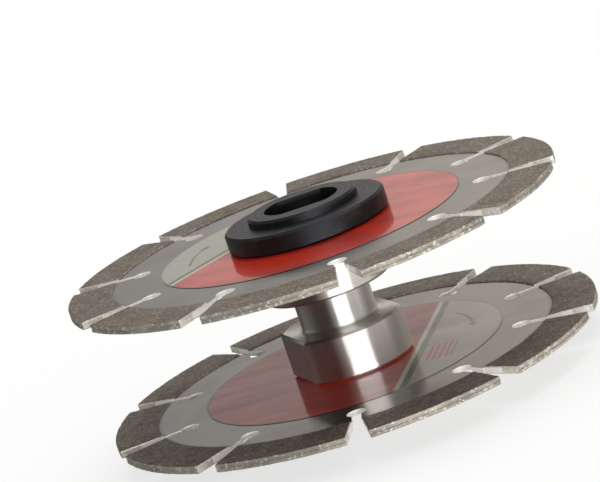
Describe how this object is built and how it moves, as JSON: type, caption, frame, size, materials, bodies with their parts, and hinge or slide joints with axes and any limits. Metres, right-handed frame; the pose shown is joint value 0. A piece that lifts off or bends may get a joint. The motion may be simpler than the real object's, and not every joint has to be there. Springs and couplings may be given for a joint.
{
  "type": "twin diamond blade",
  "caption": "Two segmented diamond cutting blades held apart on a flanged steel spool, with an inner flange, a clamp ring and a round lock nut, for cutting parallel lines in masonry.",
  "frame": {"origin": "on the blades' axis, in the plane of the lock nut's outer face, which the part stands on; it is the middle of the base of the bounding box", "axes": "+Z along the blades' axis towards the grinder's spindle; +X is 14 degrees clockwise, seen from the grinder, of one slot of the lower blade"},
  "size_m": [0.125, 0.125, 0.0511],
  "materials": {
    "polished_steel": "turned and bright plated",
    "blade_steel": "ground and polished sheet",
    "diamond_segment": "sintered, gritty",
    "printed_label": "gloss print, red and silver-grey",
    "turned_steel": "turned, zinc plated",
    "blackened_steel": "black oxide"
  },
  "bodies": {
    "spool": {"spacer_hub": "polished_steel", "inner_flange": "blackened_steel"},
    "upper_blade": {"upper_core": "blade_steel", "upper_label": "printed_label", "upper_segment_01": "diamond_segment", "upper_segment_02": "diamond_segment", "upper_segment_03": "diamond_segment", "upper_segment_04": "diamond_segment", "upper_segment_05": "diamond_segment", "upper_segment_06": "diamond_segment", "upper_segment_07": "diamond_segment", "upper_segment_08": "diamond_segment", "upper_segment_09": "diamond_segment", "upper_segment_10": "diamond_segment"},
    "lower_blade": {"lower_core": "blade_steel", "lower_label": "printed_label", "lower_segment_01": "diamond_segment", "lower_segment_02": "diamond_segment", "lower_segment_03": "diamond_segment", "lower_segment_04": "diamond_segment", "lower_segment_05": "diamond_segment", "lower_segment_06": "diamond_segment", "lower_segment_07": "diamond_segment", "lower_segment_08": "diamond_segment", "lower_segment_09": "diamond_segment", "lower_segment_10": "diamond_segment"},
    "clamp_ring": {"clamp_ring": "turned_steel"},
    "lock_nut": {"lock_nut": "blackened_steel"}
  },
  "joints": [
    {"name": "upper_blade_turn", "type": "hinge", "parent": "spool", "child": "upper_blade", "pos_m": [0, 0, 0.04335], "axis": [0, 0, 1], "continuous": true},
    {"name": "lower_blade_turn", "type": "hinge", "parent": "spool", "child": "lower_blade", "pos_m": [0, 0, 0.00765], "axis": [0, 0, 1], "continuous": true},
    {"name": "clamp_ring_slide", "type": "slide", "parent": "spool", "child": "clamp_ring", "axis": [0, 0, -1], "range_m": [0, 0.004]},
    {"name": "lock_nut_turn", "type": "hinge", "parent": "clamp_ring", "child": "lock_nut", "pos_m": [0, 0, 0.0039], "axis": [0, 0, -1], "range_deg": [0, 720]}
  ],
  "couplings": [
    {"joint": "clamp_ring_slide", "follows": "lock_nut_turn", "m_per_rad": 0.00031831}
  ]
}
